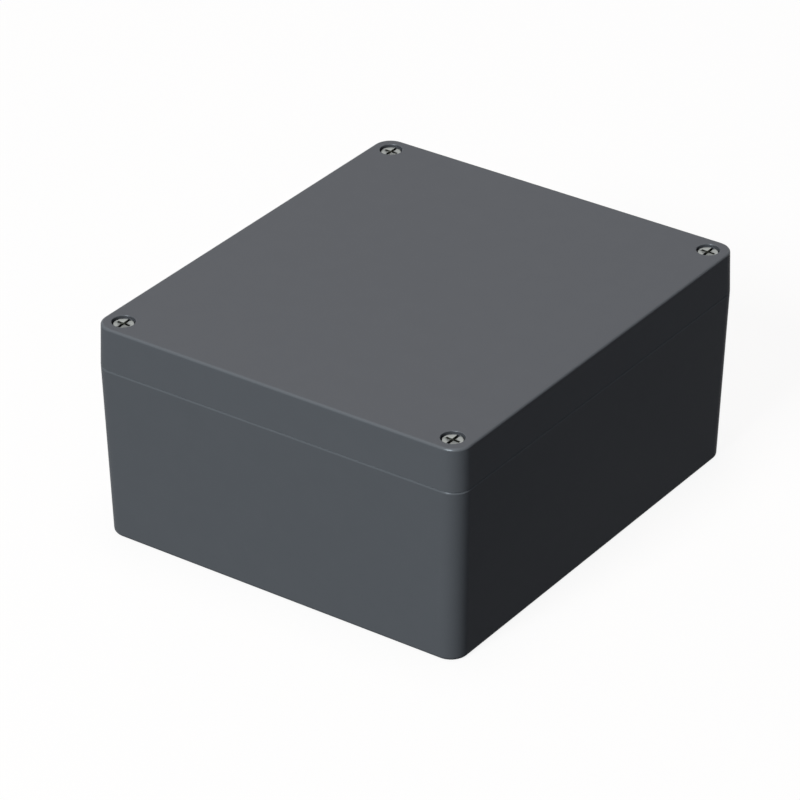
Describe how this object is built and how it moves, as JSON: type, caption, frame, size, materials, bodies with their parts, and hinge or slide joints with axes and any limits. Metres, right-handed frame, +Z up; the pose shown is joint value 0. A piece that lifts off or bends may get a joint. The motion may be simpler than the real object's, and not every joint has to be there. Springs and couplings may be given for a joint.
{
  "type": "die cast aluminium enclosure",
  "caption": "Closed rectangular die cast enclosure: a drafted base and lid, a seal in the lid's groove, captive corner screws and earth terminals inside.",
  "frame": {"origin": "centre of the underside of the base", "axes": "+X across the width, +Y along the depth towards the back, +Z up through the lid"},
  "size_m": [0.202, 0.232, 0.111],
  "materials": {
    "powder_coat": "satin dark grey powder coat on a die cast shell",
    "seal_rubber": "soft black sealing rubber",
    "screw_steel": "plain stainless steel, turned",
    "ring_nylon": "natural nylon",
    "washer_steel": "zinc plated steel"
  },
  "bodies": {
    "base": {"base": "powder_coat", "base_earth_clamp_washer": "washer_steel", "base_earth_spring_washer": "washer_steel", "base_earth_screw": "screw_steel"},
    "lid": {"lid": "powder_coat", "lid_gasket": "seal_rubber", "lid_earth_clamp_washer": "washer_steel", "lid_earth_spring_washer": "washer_steel", "lid_earth_screw": "screw_steel"},
    "ring_front_left": {"retaining_ring_front_left": "ring_nylon"},
    "screw_front_left": {"lid_screw_front_left": "screw_steel"},
    "ring_front_right": {"retaining_ring_front_right": "ring_nylon"},
    "screw_front_right": {"lid_screw_front_right": "screw_steel"},
    "ring_back_left": {"retaining_ring_back_left": "ring_nylon"},
    "screw_back_left": {"lid_screw_back_left": "screw_steel"},
    "ring_back_right": {"retaining_ring_back_right": "ring_nylon"},
    "screw_back_right": {"lid_screw_back_right": "screw_steel"}
  },
  "joints": [
    {"name": "lid_lift", "type": "slide", "parent": "base", "child": "lid", "axis": [0, 0, 1], "range_m": [0, 0.12]},
    {"name": "screw_rise_front_left", "type": "slide", "parent": "lid", "child": "ring_front_left", "axis": [0, 0, 1], "range_m": [0, 0.012]},
    {"name": "screw_turn_front_left", "type": "hinge", "parent": "ring_front_left", "child": "screw_front_left", "pos_m": [-0.0905, -0.1055, 0.10595], "axis": [0, 0, 1], "range_deg": [0, 4320]},
    {"name": "screw_rise_front_right", "type": "slide", "parent": "lid", "child": "ring_front_right", "axis": [0, 0, 1], "range_m": [0, 0.012]},
    {"name": "screw_turn_front_right", "type": "hinge", "parent": "ring_front_right", "child": "screw_front_right", "pos_m": [0.0905, -0.1055, 0.10595], "axis": [0, 0, 1], "range_deg": [0, 4320]},
    {"name": "screw_rise_back_left", "type": "slide", "parent": "lid", "child": "ring_back_left", "axis": [0, 0, 1], "range_m": [0, 0.012]},
    {"name": "screw_turn_back_left", "type": "hinge", "parent": "ring_back_left", "child": "screw_back_left", "pos_m": [-0.0905, 0.1055, 0.10595], "axis": [0, 0, 1], "range_deg": [0, 4320]},
    {"name": "screw_rise_back_right", "type": "slide", "parent": "lid", "child": "ring_back_right", "axis": [0, 0, 1], "range_m": [0, 0.012]},
    {"name": "screw_turn_back_right", "type": "hinge", "parent": "ring_back_right", "child": "screw_back_right", "pos_m": [0.0905, 0.1055, 0.10595], "axis": [0, 0, 1], "range_deg": [0, 4320]}
  ],
  "couplings": [
    {"joint": "screw_turn_front_left", "follows": "screw_rise_front_left", "rad_per_m": 6283.2},
    {"joint": "screw_turn_front_right", "follows": "screw_rise_front_right", "rad_per_m": 6283.2},
    {"joint": "screw_turn_back_left", "follows": "screw_rise_back_left", "rad_per_m": 6283.2},
    {"joint": "screw_turn_back_right", "follows": "screw_rise_back_right", "rad_per_m": 6283.2}
  ]
}
